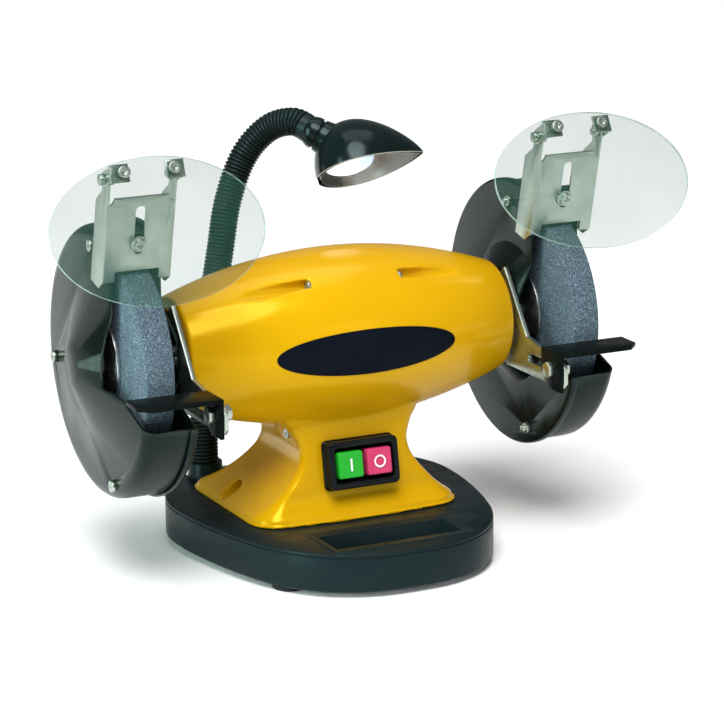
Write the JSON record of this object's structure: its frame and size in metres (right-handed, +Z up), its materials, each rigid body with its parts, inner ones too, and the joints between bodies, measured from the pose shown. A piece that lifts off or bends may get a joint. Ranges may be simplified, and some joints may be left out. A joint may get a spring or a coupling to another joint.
{
  "type": "bench grinder",
  "caption": "Double-ended bench grinder with guarded wheels, clear eye shields, adjustable tool rests, push-button switch and a flexible work lamp.",
  "frame": {"origin": "on the bench surface, at the middle of the four feet, under the middle of the spindle", "axes": "+X along the spindle, -Y towards the user, +Z up"},
  "size_m": [0.467, 0.2475, 0.3015],
  "materials": {
    "black_plastic": "moulded black plastic, faint satin grain",
    "bare_steel": "machined",
    "rubber": "matt",
    "zinc_plate": "bright zinc plating",
    "white_plastic": "moulded",
    "yellow_shell": "glossy amber yellow",
    "decal_film": "printed film",
    "switch_plastic": "moulded",
    "green_plastic": "moulded",
    "red_plastic": "moulded",
    "laminations": "stacked sheet",
    "copper": "enamelled wire",
    "cast_aluminium": "as cast",
    "bearing_steel": "ground",
    "abrasive": "speckled blue-grey abrasive grain",
    "guard_paint": "glossy black paint on pressed sheet",
    "rest_paint": "glossy black paint",
    "clear_shield": "clear polycarbonate",
    "hose_plastic": "corrugated",
    "lamp_plastic": "moulded",
    "reflector_film": "bright reflector",
    "bulb_glass": "frosted"
  },
  "bodies": {
    "frame": {"base": "black_plastic", "bottom_plate": "bare_steel", "foot_nuts": "bare_steel", "feet": "rubber", "bottom_screws": "zinc_plate", "cord_grommet": "rubber", "capacitor": "white_plastic", "capacitor_clip": "zinc_plate", "terminal_block": "white_plastic", "housing_left": "yellow_shell", "housing_right": "yellow_shell", "housing_screws": "zinc_plate", "decal": "decal_film", "switch_frame": "switch_plastic", "switch_body": "switch_plastic", "stator": "laminations", "windings": "copper", "end_bell_left": "cast_aluminium", "end_bell_right": "cast_aluminium", "motor_bolts": "bare_steel", "bearing_outer_rings": "bearing_steel", "rest_arm_left": "zinc_plate", "rest_arm_right": "zinc_plate", "inner_guard_left": "guard_paint", "inner_guard_right": "guard_paint", "guard_bolts": "bare_steel", "guard_cover_left": "guard_paint", "guard_cover_right": "guard_paint", "cover_screws": "zinc_plate", "bracket_screws": "zinc_plate", "lamp_socket": "black_plastic", "hose_base": "hose_plastic"},
    "on_button": {"on_button": "green_plastic"},
    "off_button": {"off_button": "red_plastic"},
    "spindle": {"spindle": "bare_steel", "rotor": "laminations", "bearing_inner_rings": "bearing_steel", "bearing_balls": "bearing_steel", "inner_flanges": "bare_steel", "wheel_left": "abrasive", "wheel_right": "abrasive", "outer_flanges": "bare_steel", "spindle_nuts": "zinc_plate"},
    "rest_slide_left": {"rest_bolt_left": "zinc_plate"},
    "rest_slide_right": {"rest_bolt_right": "zinc_plate"},
    "tool_rest_left": {"tool_rest_left": "rest_paint"},
    "tool_rest_right": {"tool_rest_right": "rest_paint"},
    "bracket_left": {"bracket_left": "zinc_plate"},
    "bracket_right": {"bracket_right": "zinc_plate"},
    "shield_left": {"shield_left": "clear_shield", "clips_left": "zinc_plate"},
    "shield_right": {"shield_right": "clear_shield", "clips_right": "zinc_plate"},
    "arm_low": {"hose_lower": "hose_plastic"},
    "arm_middle": {"hose_middle": "hose_plastic"},
    "arm_top": {"hose_upper": "hose_plastic"},
    "lamp_head": {"lamp_collar": "lamp_plastic", "lamp_shade": "lamp_plastic", "lamp_reflector": "reflector_film", "bulb": "bulb_glass"}
  },
  "joints": [
    {"name": "spindle_spin", "type": "hinge", "parent": "frame", "child": "spindle", "pos_m": [0, 0, 0.1515], "axis": [1, 0, 0], "continuous": true},
    {"name": "on_press", "type": "slide", "parent": "frame", "child": "on_button", "axis": [0, 0.9848, -0.1736], "range_m": [0, 0.003], "stiffness_N_per_m": 500, "springref_m": -0.002},
    {"name": "off_press", "type": "slide", "parent": "frame", "child": "off_button", "axis": [0, 0.9848, -0.1736], "range_m": [0, 0.003], "stiffness_N_per_m": 500, "springref_m": -0.002},
    {"name": "rest_slide_left", "type": "slide", "parent": "frame", "child": "rest_slide_left", "axis": [0, 1, 0], "range_m": [-0.005, 0.0015]},
    {"name": "rest_tilt_left", "type": "hinge", "parent": "rest_slide_left", "child": "tool_rest_left", "pos_m": [-0.126, -0.092, 0.1315], "axis": [1, 0, 0], "range_deg": [-1, 14]},
    {"name": "bracket_slide_left", "type": "slide", "parent": "frame", "child": "bracket_left", "axis": [0, -0.2385, 0.9711], "range_m": [-0.0025, 0.0035]},
    {"name": "shield_tilt_left", "type": "hinge", "parent": "bracket_left", "child": "shield_left", "pos_m": [-0.159, -0.0485, 0.285], "axis": [-1, 0, 0], "range_deg": [-12, 60]},
    {"name": "rest_slide_right", "type": "slide", "parent": "frame", "child": "rest_slide_right", "axis": [0, 1, 0], "range_m": [-0.005, 0.0015]},
    {"name": "rest_tilt_right", "type": "hinge", "parent": "rest_slide_right", "child": "tool_rest_right", "pos_m": [0.126, -0.092, 0.1315], "axis": [1, 0, 0], "range_deg": [-1, 14]},
    {"name": "bracket_slide_right", "type": "slide", "parent": "frame", "child": "bracket_right", "axis": [0, -0.2385, 0.9711], "range_m": [-0.0025, 0.0035]},
    {"name": "shield_tilt_right", "type": "hinge", "parent": "bracket_right", "child": "shield_right", "pos_m": [0.159, -0.0485, 0.285], "axis": [-1, 0, 0], "range_deg": [-12, 60]},
    {"name": "arm_sway", "type": "hinge", "parent": "frame", "child": "arm_low", "pos_m": [-0.057, 0.095, 0.1015], "axis": [0, 1, 0], "range_deg": [-10, 10]},
    {"name": "arm_lean", "type": "hinge", "parent": "arm_low", "child": "arm_middle", "pos_m": [-0.0365, 0.0945, 0.2315], "axis": [1, 0, 0], "range_deg": [-10, 10]},
    {"name": "arm_curl", "type": "hinge", "parent": "arm_middle", "child": "arm_top", "pos_m": [-0.009, 0.084, 0.2825], "axis": [0, 1, 0], "range_deg": [-8, 8]},
    {"name": "lamp_tilt", "type": "hinge", "parent": "arm_top", "child": "lamp_head", "pos_m": [0.012, 0.058, 0.2835], "axis": [0.4368, 0.8996, 0], "range_deg": [-10, 12]}
  ]
}
